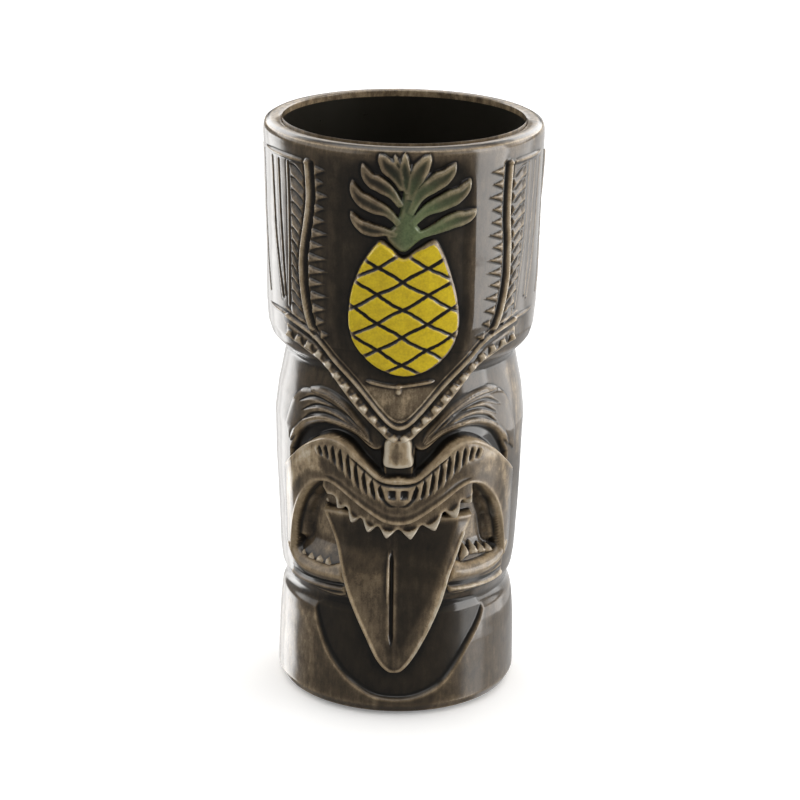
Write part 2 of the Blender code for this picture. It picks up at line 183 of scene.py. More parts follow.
class Skin:
    """Clay heights over a grid of (angle, z), with its enamel and the tone of its glaze.

    The paint is how far inside an enamelled area a point is, in millimetres. The tone is above 0 where the
    glaze is lighter and below 0 where it is darker: in places for glaze thinned by brushing or lying thick,
    in others as painted light and painted shade.
    """

    def __init__(self, angle, z):
        self.angle, self.z, self.x = angle, z, angle * MM_PER_DEGREE
        self.wall = wall_radius(z)
        self.ground = np.zeros(angle.shape)
        self.height = np.zeros(angle.shape)
        self.paint = np.full(angle.shape, -1.0)
        self.tone = np.zeros(angle.shape)

    def blank(self):
        """The same skin with nothing on it yet, so it lies just below its ground."""
        made = copy.copy(self)
        made.height = self.ground - SINK
        return made

    def standing(self):
        """A blank skin for a piece that stands on this one."""
        made = copy.copy(self)
        made.ground = self.height
        made.height = self.height - SINK
        made.paint = np.full(self.angle.shape, -1.0)
        made.tone = np.zeros(self.angle.shape)
        return made

    def area(self, outline):
        """The grid points near an outline: which they are, how far from it, and if they are inside."""
        where, distance, _, inside = self.around(outline, 0.1, closed=True)
        return where, distance, inside

    def around(self, line, reach, closed=False):
        """Which grid points are near a line, and what measure says of them."""
        points = np.array(line, float) * (MM_PER_DEGREE, 1.0)
        low, high = points.min(axis=0) - reach, points.max(axis=0) + reach
        where = (self.x > low[0]) & (self.x < high[0]) & (self.z > low[1]) & (self.z < high[1])
        return (where, *measure(self.x[where], self.z[where], line, closed))

    def ridge(self, line, width, height, taper=0.0):
        """A rounded ridge along a line, or a groove if the height is negative. A taper thins its ends."""
        where, distance, progress, _ = self.around(line, width / 2)
        half = width / 2
        if taper:
            half = half * np.clip(np.minimum(progress, 1.0 - progress) / taper, 0.05, 1.0) ** 0.6
            height = height * np.clip(np.minimum(progress, 1.0 - progress) / taper, 0.0, 1.0) ** 0.5
        self.height[where] += height * bell(distance / half)

    def groove(self, line, width, depth, taper=0.0):
        self.ridge(line, width, -depth, taper)

    def boss(self, outline, height, shoulder):
        """Clay raised to a height inside an outline. The height is one value, or one for each grid point."""
        where, distance, inside = self.area(outline)
        level = height[where] if isinstance(height, np.ndarray) else height
        foot = self.ground[where] - SINK
        raised = foot + (level - foot) * rounded_edge(distance / shoulder) * smooth_step(distance / EDGE_RAMP)
        self.height[where] = np.where(inside, np.maximum(self.height[where], raised), self.height[where])

    def roof(self, outline, height, reach):
        """A hipped roof put on inside an outline, which is at its full height a reach in from the edge."""
        where, distance, inside = self.area(outline)
        self.height[where] += height * inside * np.clip(distance / reach, 0.0, 1.0)

    def recess(self, outline, floor, shoulder):
        """Clay pressed to a floor height inside an outline, with sides as wide as the shoulder."""
        where, distance, inside = self.area(outline)
        level = floor[where] if isinstance(floor, np.ndarray) else floor
        amount = inside * smooth_step(distance / shoulder)
        self.height[where] += (level - self.height[where]) * amount

    def tint(self, outline, margin):
        """Enamel inside an outline, kept a margin away from it."""
        where, distance, inside = self.area(outline)
        depth = np.clip(np.where(inside, distance, -distance) - margin, -1.0, 1.0)
        self.paint[where] = np.maximum(self.paint[where], depth)

    def shade(self, outline, amount, softness):
        """Lighter glaze inside an outline, darker for amounts below 0; both for thinned glaze and for painted
        light.
        """
        where, distance, inside = self.area(outline)
        self.tone[where] += amount * inside * smooth_step(distance / softness)

    def wave(self, size, length, seed):
        """Slow unevenness of the hand-finished clay."""
        draw = np.random.default_rng(seed)
        for _ in range(7):
            turns = draw.integers(1, max(2, int(230 / length)))
            tall, phase = draw.uniform(0.3, 1.0) * 2 * math.pi / length, draw.uniform(0, 2 * math.pi)
            self.height += size / 3 * np.sin(np.radians(self.angle) * turns + self.z * tall + phase)


# ---- headdress

SHIELD_LOWER = (
    (0, 85.4), (4.5, 86), (9.4, 89), (18.2, 94.5), (26.3, 100.4), (32.4, 105), (37.5, 107.6), (45, 109.6),
)
CHEVRON_RIDGE = (
    (0, 90.6), (4, 91.7), (8.8, 95), (13, 98.4), (17, 101.6), (20.8, 104.2), (25, 106.8), (29.7, 109.6),
    (34.6, 112.9), (38.8, 115), (43.1, 116.2), (48, 117.2), (57, 118.4), (66, 118.8),
)
CHEVRON_TEETH = (
    (0, 85.9), (3.5, 87.9), (6.4, 90), (10.6, 92.9), (14.9, 95.8), (19.1, 98.7), (22.9, 101.5),
    (27.8, 104.6), (31.9, 107.5), (38, 110.2), (44, 111.8), (55, 112.9), (66, 113.1),
)
CHEVRON_END = 57.0
TOOTH_SPACING = 3.9
NICHE = (
    (0, 103), (12, 104.4), (19, 106), (25, 109), (29, 113.5), (31, 120), (31.5, 130), (31, 146),
    (30.5, 158), (28, 164.5), (20, 167.5), (0, 168.5),
)
NICHE_DEPTH = 0.6
NICHE_PAINTED_SHADE = (
    (-37, 168), (27, 168), (29.5, 160), (30.5, 150), (29, 138), (30.5, 125), (28.5, 113), (22, 105),
    (0, 103), (-22, 105), (-34, 115),
)
FRUIT_BAR = ((-14.4, 103.9), (-7, 103), (-2, 102.7), (5, 103.2), (14.6, 104.2))
FRUIT_DROP = ((-0.4, 103), (-0.6, 101))
INSIDE_CHEVRON = ((-24, 103), (24, 103), (3, 91), (-3, 91))
SAW_ROWS, FEATHER_ROWS = 14, 12
SAW_PITCH = 3.62
SAW_GAP = 3.4  # degrees from a panel's border to the roots of its saw teeth
PANEL_TOP_Z = 164.3
BORDERS = {
    1: ((47.4, PANEL_TOP_Z), (47.2, 150), (48.6, 140), (48.2, 130), (45.2, 121.5), (40.5, 115.6)),
    -1: ((41.2, PANEL_TOP_Z), (40.6, 155), (42.4, 147), (45.2, 137), (45.0, 130), (42.4, 121), (38.2, 114.4)),
}
SAW_TIPS = {
    1: ((36.2, PANEL_TOP_Z), (37.6, 142), (36.5, 126), (33.0, 115)),
    -1: ((31.2, PANEL_TOP_Z), (31.6, 140), (31.2, 115)),
}
FEATHER_EDGES = {
    1: ((60.6, 162.8), (61.2, 150), (59.6, 138), (56.6, 128), (55, 121.5)),
    -1: ((53.4, 162.8), (53.4, 150), (53.6, 138), (53.6, 121.5)),
}
STRIPE_SHIFT = {1: 6.0, -1: 0.0}
STRIPE_LINES = (
    ((60.6, 162.5), (60.4, 150), (59.0, 138), (56.6, 124)),
    ((66.6, 162.5), (66, 150), (64.0, 138), (58.6, 123)),
    ((79, 162.5), (78.6, 150), (77, 136), (72, 122.5)),
)
FEATHER_PITCH = 3.65
PANEL_FOLD = 85.0  # the angle about which a side panel repeats, mirrored, towards the back


def both_ways(draw):
    """Calls draw for a side panel on each side, front and back, with a function that places its lines."""
    for side in (1, -1):
        draw(side, lambda line, side=side: on_side(side, line))
        draw(side, lambda line, side=side: [(side * (2 * PANEL_FOLD - angle), z) for angle, z in line])


def angle_at(line, z):
    """The angle of a line of (angle, z), at a height."""
    angle, height = np.array(sorted(line, key=lambda point: point[1])).T
    return np.interp(z, height, angle)


def carve_shield(skin):
    """The front of the headdress, which hangs over the forehead as a V."""
    edge = smooth_line(SHIELD_LOWER)
    outline = mirrored([tuple(point) for point in edge] + [(52, 113.0)]) + [(52, 118), (-52, 118)]
    skin.boss(outline, np.maximum(SHIELD_R - skin.wall, 0.0), 1.6)


def carve_niche(skin):
    """The sunk field round the fruit with painted shade over it, the small bar under it, and the thin glaze
    inside the V.
    """
    outline = smooth_line(mirrored(NICHE), 4, closed=True)
    under = np.maximum(SHIELD_R - skin.wall, 0.0)
    skin.recess(outline, under - NICHE_DEPTH, 4.0)
    # painted shade: the sunk field round the fruit is painted darker
    skin.shade(NICHE_PAINTED_SHADE, -0.35, 1.2)
    skin.ridge(smooth_line(FRUIT_BAR), 1.6, 1.0, 0.08)
    skin.ridge(FRUIT_DROP, 2.2, 0.7)
    skin.shade(INSIDE_CHEVRON, 0.75, 1.2)


def carve_saw(skin, side, place):
    """A row of uneven pointed teeth beside a panel's border."""
    for row in range(SAW_ROWS):
        z = PANEL_TOP_Z - 2.0 - row * SAW_PITCH
        root = angle_at(BORDERS[side], z) - SAW_GAP
        tip = angle_at(SAW_TIPS[side], z) + 1.2 * math.sin(row * 2.3)
        tooth = place([(root, z + 1.7), (tip, z + 0.5), (root, z - 1.6)])
        skin.boss(tooth, 0.25, 0.5)
        skin.roof(tooth, 0.5, 0.9)


def carve_feathers(skin, side, place):
    """Overlapping strokes between a panel's border and its next line."""
    for row in range(FEATHER_ROWS):
        z = PANEL_TOP_Z - 3.4 - row * FEATHER_PITCH
        inner = angle_at(BORDERS[side], z - 1.5) + 2.4
        outer = angle_at(FEATHER_EDGES[side], z + 2.0) - 1.6
        if outer - inner < 3:
            continue
        middle = (outer + inner) / 2
        pad = [(outer, z + 1.0), (middle + 0.6, z + 0.2), (inner, z - 2.4)]
        pad += [(inner, z - 4.6), (middle, z - 2.8), (outer, z - 1.6)]
        skin.roof(place(pad), 0.6, 1.1)
        skin.shade(place(pad), 0.12, 1.0)
        stroke = [(outer, z + 1.7), (middle + 0.6, z + 0.9), (inner, z - 1.8)]
        skin.groove(smooth_line(place(stroke)), 1.3, 0.55, 0.3)


def carve_side_panel(skin, side, place):
    """A panel with a rolled border, saw teeth on one side of it, and feathers and stripes on the other."""
    border = smooth_line(place(BORDERS[side]))
    carve_saw(skin, side, place)
    skin.groove(smooth_line(place(shifted(BORDERS[side], -2.3))), 1.8, 0.55)
    skin.groove(smooth_line(place(shifted(BORDERS[side], 2.2))), 1.5, 0.35)
    skin.ridge(border, 2.5, 1.0)
    # painted highlight: a lighter band along the border, where its flank catches the light
    skin.shade(place(shifted(BORDERS[side], -1.6) + shifted(BORDERS[side], 1.6)[::-1]), 0.4, 0.8)
    stripes = [shifted(line, STRIPE_SHIFT[side]) for line in STRIPE_LINES]
    for line in (FEATHER_EDGES[side], *stripes):
        path = smooth_line(place(line))
        skin.groove(path, 2.6, 0.15)
        skin.ridge(path, 1.3, 0.42)
    carve_feathers(skin, side, place)
    start = BORDERS[side][0][0] - 3.0
    skin.ridge(place([(start, PANEL_TOP_Z), (60, PANEL_TOP_Z + 0.1), (76, PANEL_TOP_Z)]), 1.9, 0.6, 0.3)
    skin.ridge(place([(50, 118.0), (60, 118.6), (74, 118.8)]), 1.8, 0.5, 0.4)


def rim_painted_light(angle):
    """Painted light on the rim: lighter at the sides and the back, where it catches the light, than over the
    face.
    """
    return 0.15 + 0.40 * smooth_step((np.abs(angle) - 30.0) / 60.0)


def carve_headdress(skin):
    carve_shield(skin)
    carve_niche(skin)
    both_ways(lambda side, place: carve_side_panel(skin, side, place))
    # painted light on the top of the outer wall, lighter at the sides and the back
    skin.tone += rim_painted_light(skin.angle) * smooth_step((skin.z - 168.0) / 2.0)


def chevron_tooth(skin, angle, z, slope):
    """A small pyramid with its foot on the band's lower edge. The slope is the band's, in radians."""
    across, up = math.cos(slope), math.sin(slope)
    corners = []
    for along, rise in ((-1.5, -1.1), (1.5, -1.1), (0.9, 1.3), (-0.9, 1.3)):
        corners.append((angle + (along * across - rise * up) / MM_PER_DEGREE, z + along * up + rise * across))
    skin.roof(corners, 1.7, 1.0)
    skin.shade(corners, 0.35, 0.6)


def model_chevron(skin):
    """The V-shaped moulding: a thin rolled ridge, a dark channel, and a row of small pyramids."""
    ridge = smooth_line(mirrored(CHEVRON_RIDGE))
    ridge = ridge[np.abs(ridge[:, 0]) < CHEVRON_END + 1]
    lower = [point for point in smooth_line(SHIELD_LOWER) if point[0] < 45]
    lower += [(50, 110.6), (CHEVRON_END, 111.2)]
    upper = [point for point in smooth_line(CHEVRON_RIDGE) if point[0] < CHEVRON_END]
    outline = mirrored([tuple(point) for point in lower]) + mirrored(shifted(upper, 0.0, 1.9))[::-1]
    under = np.maximum(SHIELD_R - skin.wall, 0.0)
    skin.boss(outline, under + 0.35, 0.7)
    skin.shade(outline, 0.2, 1.0)
    skin.ridge(ridge + (0.0, 1.7), 1.0, 0.3)
    skin.groove(ridge + (0.0, 1.0), 1.2, 0.7)
    skin.ridge(ridge - (0.0, 0.1), 1.5, 1.0)
    skin.groove(ridge - (0.0, 1.7), 2.4, 0.7)
    teeth = smooth_line(CHEVRON_TEETH, 12) * (MM_PER_DEGREE, 1.0)
    walked = np.concatenate([[0.0], np.cumsum(np.hypot(*np.diff(teeth, axis=0).T))])
    for side in (1, -1):
        for step in range(15):
            at = 2.0 + step * TOOTH_SPACING
            x, next_x = np.interp((at, at + 1), walked, teeth[:, 0])
            z, next_z = np.interp((at, at + 1), walked, teeth[:, 1])
            if x / MM_PER_DEGREE < CHEVRON_END - 2:
                chevron_tooth(skin, side * x / MM_PER_DEGREE, z, side * math.atan2(next_z - z, next_x - x))


# ---- pineapple

FRUIT_OUTLINE = (
    (1.7, 105.6), (-7.8, 107.2), (-15.4, 110.8), (-20.5, 115.8), (-22.2, 121.8), (-21, 129.8),
    (-17.4, 136.8), (-13.6, 141.4), (-8.7, 145.2), (-4, 143.2), (0.5, 140.6), (6, 143), (13, 145.4),
    (17, 141.4), (20.2, 135.8), (23.2, 128.8), (24.5, 121.8), (23.2, 115.9), (18.6, 110.8), (11.3, 107.2),
)
FRUIT_HEIGHT = 2.3
LATTICE_MIDDLE = (0.5, 125.6)
LATTICE_COLUMN = 6.3
LATTICE_ROW = 8.0
LATTICE_GROOVE = 0.50
CROWN_HEIGHT = 1.5
LEAVES = (  # the middle line from root to tip as (angle, z), and the width in millimetres
    (((-1.5, 146.6), (-7, 147.4), (-12.5, 147.7), (-17.5, 149.2), (-21.6, 152.6)), 4.4),
    (((-1.0, 149.4), (-6.0, 152.9), (-12.0, 154.6), (-18.0, 157.2), (-20.8, 161.6)), 4.9),
    (((-0.4, 154.4), (-4.0, 158.0), (-8.5, 160.4), (-13.5, 162.4), (-16.4, 166.6)), 5.0),
    (((0.2, 159.0), (-3.0, 163.4), (-6.2, 166.0), (-9.6, 169.4)), 5.0),
    (((0.4, 162.0), (-1.8, 165.6), (-3.6, 169.4)), 2.0),
    (((1.2, 158.0), (1.0, 162.0), (0.6, 166.0), (0.6, 170.0)), 3.4),
    (((2.4, 156.4), (4.6, 161.8), (7.4, 165.8), (10.6, 169.4)), 5.0),
    (((2.6, 152.4), (6.6, 157.8), (12.0, 161.0), (17.4, 163.4), (21.0, 166.8)), 5.4),
    (((3.0, 149.2), (9.0, 153.4), (16.5, 155.8), (23.5, 158.2), (27.6, 162.0)), 5.4),
    (((3.0, 145.6), (12.0, 147.9), (20.0, 150.2), (26.5, 151.2), (30.8, 153.2)), 5.0),
)
STALK = (
    (0.5, 141.4), (6, 144.2), (9, 146.4), (5.6, 149.8), (4.2, 154.4), (2.6, 160), (0.4, 160), (-1, 154),
    (-2.8, 149.8), (-6.5, 147), (-5.5, 144.4),
)


def lattice_distance(x, z):
    """Distance to the nearest of the fruit's two sets of diagonal grooves, a little uneven as if by hand."""
    x0 = LATTICE_MIDDLE[0] * MM_PER_DEGREE
    nearest = np.full(x.shape, np.inf)
    slope = LATTICE_ROW / 2 / LATTICE_COLUMN
    for side in (1, -1):
        wobble = 0.20 * np.sin(x * 0.45 * side + z * 0.35) + 0.05 * np.sin(x * 1.7 - z * 1.1)
        offset = z + wobble - LATTICE_MIDDLE[1] - side * slope * (x - x0)
        offset = (offset + LATTICE_ROW / 2) % LATTICE_ROW - LATTICE_ROW / 2
        nearest = np.minimum(nearest, np.abs(offset) / math.hypot(1.0, slope))
    return nearest


def model_fruit(skin):
    """An egg-shaped fruit with flat enamelled pads between diagonal grooves."""
    outline = smooth_line(FRUIT_OUTLINE, 5, closed=True)
    under = np.maximum(SHIELD_R - skin.wall, 0.0)
    skin.boss(outline, under + FRUIT_HEIGHT - NICHE_DEPTH * 0.4, 1.7)
    where, distance, inside = skin.area(outline)
    gap = lattice_distance(skin.x[where], skin.z[where])
    pad = 0.6 * smooth_step((gap - 0.05) / 0.75)
    skin.height[where] += inside * (pad - 0.6) * np.clip(distance / 1.0, 0, 1)
    margin = 0.55 + 0.8 * smooth_step((skin.angle[where] - 4.0) / 12.0)
    depth = np.minimum(gap - LATTICE_GROOVE, np.where(inside, distance, -distance) - margin)
    skin.paint[where] = np.clip(depth, -1.0, 1.0)


def leaf_outline(line, width):
    """A leaf along its middle line: narrow at its root, widest past its middle and pointed at its tip."""
    line = smooth_line(line, 8) * (MM_PER_DEGREE, 1.0)
    along = np.linspace(0.0, 1.0, len(line))
    half = width / 2 * np.interp(along, [0, 0.2, 0.4, 0.62, 0.85, 1.0], [0.42, 0.58, 0.90, 1.0, 0.60, 0.02])
    step = np.gradient(line, axis=0)
    normal = np.stack([-step[:, 1], step[:, 0]], axis=1) / np.hypot(*step.T)[:, None]
    left, right = line + normal * half[:, None], line - normal * half[:, None]
    return np.concatenate([left, right[::-1]]) / (MM_PER_DEGREE, 1.0), line / (MM_PER_DEGREE, 1.0)


def model_crown(skin):
    """A stalk and a fan of curved leaves, each with a raised rim and a hollow along its middle."""
    leaves = skin.blank()
    for line, width in LEAVES:
        outline, middle = leaf_outline(line, width)
        leaf = skin.blank()
        leaf.boss(outline, CROWN_HEIGHT - NICHE_DEPTH * 0.3, 0.45)
        leaf.groove(middle[3:-3], width * 0.72, 0.40, 0.35)
        leaves.height = np.maximum(leaves.height, leaf.height)
        skin.tint(outline, 0.25)
    stalk = smooth_line(STALK, 4, closed=True)
    leaves.boss(stalk, CROWN_HEIGHT - 0.5, 1.2)
    skin.tint(stalk, 0.1)
    skin.height = np.maximum(skin.height, leaves.height)


# ---- brows, eyes and nose

BROW_RIGHT = (
    (10.4, 84.9), (12.6, 87.4), (17.5, 90.6), (24.9, 94.2), (34.1, 96.8), (44.7, 97.8), (53.9, 97),
    (60.6, 93.4), (64.9, 85.3), (66.1, 76),
)
BROW_LEFT = (
    (12.9, 84.9), (14.8, 87.6), (19.2, 90.8), (24, 93.8), (28.8, 95.6), (33.9, 96.8), (39.6, 97.2),
    (47.5, 96.9), (54, 95.6), (60, 91.5), (64, 84),
)
LID = ((11, 84.2), (19.5, 88), (29.2, 89.5), (38.3, 89.5), (47.4, 87.2), (54, 83.2), (60, 79))
EYE_UPPER = (
    (6.6, 85), (11, 83.4), (19.5, 87), (29.2, 88.6), (38.3, 88.6), (47.4, 86.3), (54, 82.2), (60, 77),
)
MUZZLE_TOP = (
    (0, 75.8), (5.6, 75.4), (9.5, 76.6), (14.9, 80), (22.3, 84.6), (29.8, 86.1), (36.8, 85), (45.6, 81.4),
    (53, 77), (60, 73.2), (68, 70), (76, 67.6),
)
NOSE_OUTLINE = (
    (-5.4, 86.6), (-6.8, 82), (-7.4, 79.4), (-6, 78.2), (0, 77.8), (5.8, 78.3), (7, 79.6), (6, 82),
    (4.8, 86.6),
)
BESIDE_BROW = ((58, 101), (66, 104), (80, 102), (78, 72), (66, 72), (66, 86), (62, 95))
BROW_LINES = (  # each groove between the brow's folds, with its width and depth
    (((16, 88.3), (24, 91.9), (34, 94.4), (44, 95.0), (53, 92.4)), 1.8, 0.70),
    (((20, 89.3), (30, 92.7), (41, 93.0), (50, 90.2)), 1.7, 0.70),
    (((25, 90.2), (35, 91.2), (43, 90.2), (49, 87.6)), 1.8, 0.65),
)


def carve_eye(skin, side, brow):
    """A brow with folds, an eyelid, and the hollow between the lid and the upper lip."""
    def place(line):
        return smooth_line(on_side(side, line))

    ridge = place(brow)
    skin.boss(np.concatenate([ridge, place(LID)[::-1]]), 0.75, 2.2)
    skin.ridge(place(brow[:-3]), 2.6, 0.8, 0.16)
    hollow = np.concatenate([place(EYE_UPPER), place(shifted(MUZZLE_TOP[1:-2], 0, -0.8))[::-1]])
    skin.recess(hollow, -2.1, 1.3)
    skin.ridge(place(LID), 2.0, 0.9, 0.14)
    for line, width, depth in BROW_LINES:
        skin.groove(place(line), width, depth, 0.25)
    # painted shade in the eye's hollow
    skin.shade(hollow, -0.25, 1.5)


def carve_face(skin):
    carve_eye(skin, 1, BROW_RIGHT)
    carve_eye(skin, -1, BROW_LEFT)
    skin.shade(BESIDE_BROW, 0.7, 3.0)


def model_nose(skin):
    """A small block, thicker towards its foot, with a shallow hollow down its middle."""
    outline = smooth_line(NOSE_OUTLINE, 5, closed=True)
    skin.boss(outline, 2.7 - 0.05 * np.abs(skin.angle) + 0.04 * (80 - skin.z), 0.9)
    skin.groove([(-0.8, 86.0), (-1.2, 79.0)], 4.4, 0.25, 0.4)


# ---- mouth

LIP_EDGE = (
    (0, 60.2), (5, 60.7), (9.3, 62.1), (18.6, 66.3), (27, 70.3), (32.3, 71.4), (38.6, 69.9), (45, 65.2),
    (50.2, 58.5), (53.4, 51), (55.4, 44.6),
)
CHEEK = (
    (62, 48), (57.5, 48), (55.5, 57), (49.5, 67.5), (41, 73), (31, 73.8), (36, 84), (46, 80.6), (56, 73),
    (63.5, 64),
)
MUZZLE_OUTER = ((77, 60), (77, 52), (70, 45.6))
MUZZLE_HEIGHT = 2.6
MUZZLE_FADE = (51.0, 74.0)
MOUTH_FLOOR = -3.6
MUZZLE_CREASE = ((0, 73.1), (7, 73.8), (13, 76.6), (22, 81.6))
NOSTRIL = ((0.7, 68.8), (4.2, 68.9), (4.8, 70.6), (4.2, 72), (0.7, 71.9))
NOSTRIL_CURL = ((6.6, 72.4), (6, 69), (3.4, 67.1), (0.4, 66.9))
RIB_TOPS = (
    (7.4, 74.8), (10.9, 76.6), (14.4, 78.9), (17.9, 81.2), (21.4, 83.2), (24.9, 84.4), (28.4, 84.9),
    (31.8, 84.7), (35, 84),
)
RIB_LENGTHS = (6.4, 7.8, 8.8, 9.4, 9.0, 8.2, 7.0, 5.6, 4.4)
UPPER_TEETH = (  # tips
    (-35, 66.2), (-28.6, 62.2), (-21.9, 58.3), (-14, 56), (-5.4, 54.6), (6.2, 54.4), (17.6, 56.8),
    (27.6, 59.6), (35, 63.4),
)
TOOTH_GAPS = (  # the gum line between the teeth, one point before each tip and one after the last
    (-38.6, 68.6), (-31.6, 66.2), (-25, 63.6), (-17.6, 60.8), (-9.4, 58.7), (0.3, 58), (11.4, 59.2),
    (22.2, 62.8), (31.4, 65.6), (38.2, 67.4),
)
LOWER_ROLL = ((26, 42.6), (38, 42.2), (49, 42.6), (55, 44.2), (58.5, 47.4))
THIN_ROLL = ((26, 38.3), (40, 37.7), (52, 37.4), (60, 38))
LOWER_LIP = (
    (26.2, 45.8), (34, 45.2), (44, 45.4), (52, 46.2), (55.6, 48.2), (59.6, 49), (61.8, 44.5), (61.6, 39.5),
    (60.6, 36.2), (44, 35.4), (25.4, 36),
)
LIP_RISE = {1: 1.5, -1: 0.0}  # how much higher one half of the lower lip is
LIP_TONE = {1: 0.2, -1: -0.5}
LOWER_TEETH_RIGHT = (
    (31.5, 48), (34.5, 52.8), (37, 49.6), (40, 52), (42.6, 49.2), (45.4, 50.8), (47.8, 48.6), (50.4, 49.8),
    (54, 47.4),
)
LOWER_TEETH_LEFT = (
    (32.4, 45.4), (35, 47.2), (37.2, 45.9), (40.4, 47), (42.8, 45.8), (46, 47), (48.2, 45.8), (51.4, 47),
    (54.6, 45.8),
)


def carve_mouth(skin):
    """The open mouth: a bowl that falls steeply from the upper lip's edge and gently from the lower lip."""
    lower = mirrored([(0, 37.0), (20, 38.5), (27.5, 44.6), (44, 45.0), (55.4, 45.4)])
    upper = mirrored(shifted(LIP_EDGE[:-1], 0, 1.0))
    where, _, inside = skin.area(lower + upper[::-1])
    from_upper = measure(skin.x[where], skin.z[where], upper, closed=False)[0]
    from_lower = measure(skin.x[where], skin.z[where], lower, closed=False)[0]
    amount = inside * smooth_step(from_upper / 3.2) * smooth_step((from_lower + 1.0) / 8.0)
    skin.height[where] += (MOUTH_FLOOR - skin.height[where]) * amount
    # painted light: the bowl's glaze is lifted against the shade it lies in
    skin.tone[where] += 1.05 * amount


def model_muzzle(skin):
    """The upper lip: it rises as a wave over both cheeks, with whisker grooves and two nostrils."""
    top = [tuple(point) for point in smooth_line(MUZZLE_TOP)]
    edge = [tuple(point) for point in smooth_line(LIP_EDGE)]
    outline = mirrored(top + list(MUZZLE_OUTER)) + mirrored(edge)[::-1]
    fade = 1.0 - smooth_step((np.abs(skin.angle) - MUZZLE_FADE[0]) / (MUZZLE_FADE[1] - MUZZLE_FADE[0]))
    bulge = 0.5 * bell((skin.z - 74.0) / 16.0)
    skin.boss(outline, -SINK + (MUZZLE_HEIGHT + SINK + bulge) * fade, 1.5)
    skin.shade(outline, 0.12, 3.0)
    # both cheeks are brushed lighter; on the right the lightening is partly a painted highlight, for the
    # sheen the cheek catches
    for side, amount in ((1, 0.6), (-1, 1.3)):
        skin.shade(on_side(side, CHEEK), amount, 2.5)
    rim = smooth_line(mirrored(shifted(LIP_EDGE[:7], 0.0, 0.75) + shifted(LIP_EDGE[7:], 1.2, 0.2)))
    skin.ridge(rim, 1.5, 0.4)
    skin.groove(smooth_line(mirrored(shifted(LIP_EDGE[:6], 0.0, 2.6))), 3.0, 0.3, 0.1)
    brim = smooth_line(mirrored(shifted(MUZZLE_TOP[:-2], 0, -0.8)))
    skin.ridge(brim, 1.7, 0.5)
    skin.groove(smooth_line(mirrored(MUZZLE_CREASE)), 1.6, 0.8, 0.2)
    for side in (1, -1):
        for (angle, z), length in zip(RIB_TOPS, RIB_LENGTHS):
            rib = [(angle, z - 1.4), (angle + 0.2, z - length * 0.5), (angle - 1.2, z - length)]
            path = smooth_line(on_side(side, rib))
            skin.groove(path, 1.55, 1.25, 0.3)
            skin.ridge(path + (side * 1.75, 0.0), 0.9, 0.3, 0.3)
        nostril = on_side(side, NOSTRIL)
        skin.recess(smooth_line(nostril, 4, closed=True), MUZZLE_HEIGHT - 0.5, 1.2)
        # painted shade in the nostril
        skin.shade(nostril, -0.5, 0.6)
        skin.groove(smooth_line(on_side(side, NOSTRIL_CURL)), 1.3, 0.45, 0.3)


def model_upper_teeth(skin):
    """A gum behind the lip, and a zigzag of pointed teeth that stand out from it."""
    zigzag = [TOOTH_GAPS[0]]
    for tip, gap in zip(UPPER_TEETH, TOOTH_GAPS[1:]):
        zigzag += [tip, gap]
    above = shifted(mirrored(LIP_EDGE[:6] + ((36.5, 71.5),)), 0, 1.2)
    skin.boss(zigzag + above[::-1], -0.2, 0.8)
    skin.shade(zigzag + above[::-1], 0.45, 1.5)
    for before, tip, after in zip(TOOTH_GAPS, UPPER_TEETH, TOOTH_GAPS[1:]):
        tooth = [shifted([before], 0.6, 0.3)[0], tip, shifted([after], -0.6, 0.3)[0]]
        skin.boss(tooth, 0.3, 0.5)
        skin.roof(tooth, 1.5, 1.2)
        skin.shade(tooth, 0.35, 0.6)


def model_lower_lip(skin, side):
    """Half of the lower lip, from the tongue to the corner of the mouth: a thick roll over a thin one."""
    def place(line):
        return on_side(side, shifted(line, 0.0, LIP_RISE[side]))

    skin.boss(smooth_line(place(LOWER_LIP), 4, closed=True), 0.35, 1.2)
    skin.ridge(smooth_line(place(LOWER_ROLL)), 6.6, 1.8)
    thin = shifted(THIN_ROLL, 0, -0.6 * LIP_RISE[side])
    skin.groove(smooth_line(place(shifted(thin, 0, 1.7))), 1.7, 0.7)
    skin.ridge(smooth_line(place(thin)), 2.2, 0.9)
    skin.shade(place(LOWER_ROLL + LOWER_LIP[-3:]), LIP_TONE[side], 1.0)


def model_lower_teeth(skin, line, side):
    """Teeth along a line that goes from gap to tip to gap, above a level foot."""
    base = [(angle, 44.2) for angle, _ in line[::-1]]
    outline = on_side(side, list(line) + base)
    skin.boss(outline, -0.9, 0.7)
    for before, tip, after in zip(line[0::2], line[1::2], line[2::2]):
        tooth = [before, tip, after, (after[0], after[1] - 1.5), (before[0], before[1] - 1.5)]
        skin.roof(on_side(side, tooth), 1.1, 1.0)
    skin.shade(outline, 0.4, 0.6)


# ---- tongue, chin and base

TONGUE_LEFT = (
    (-1.1, 13.8), (-5, 14.6), (-9.8, 18.6), (-15.1, 26.4), (-20.1, 33.8), (-24.4, 41.4), (-30.4, 51.4),
    (-35.5, 57.6), (-40.5, 62.6),
)
TONGUE_RIGHT = (
    (-1.1, 13.8), (3.6, 14.6), (9, 19.4), (14.9, 27), (19.9, 34.8), (24.6, 43.6), (31.2, 51), (37, 57.4),
    (40.4, 61.6),
)
TONGUE_R = ((15, 37.3), (20, 38.2), (30, 38.8), (40, 38.6), (47, 37), (53, 35.4), (58, 34.9), (63, 34.9))
TONGUE_GROOVE = ((-2.2, 22.5), (-2.4, 34), (-2.6, 51.5))
TONGUE_VALLEY = ((15, 0.1), (19, 0.7), (22, 1.4), (28, 2.3), (45, 2.8), (62, 2.4))
TONGUE_RIM = ((18, 1.8), (30, 2.8), (45, 4.2), (60, 9.5))  # the right-hand rim's width in degrees
TONGUE_FOLD = ((-4.1, 35), (-4.2, 51.5))
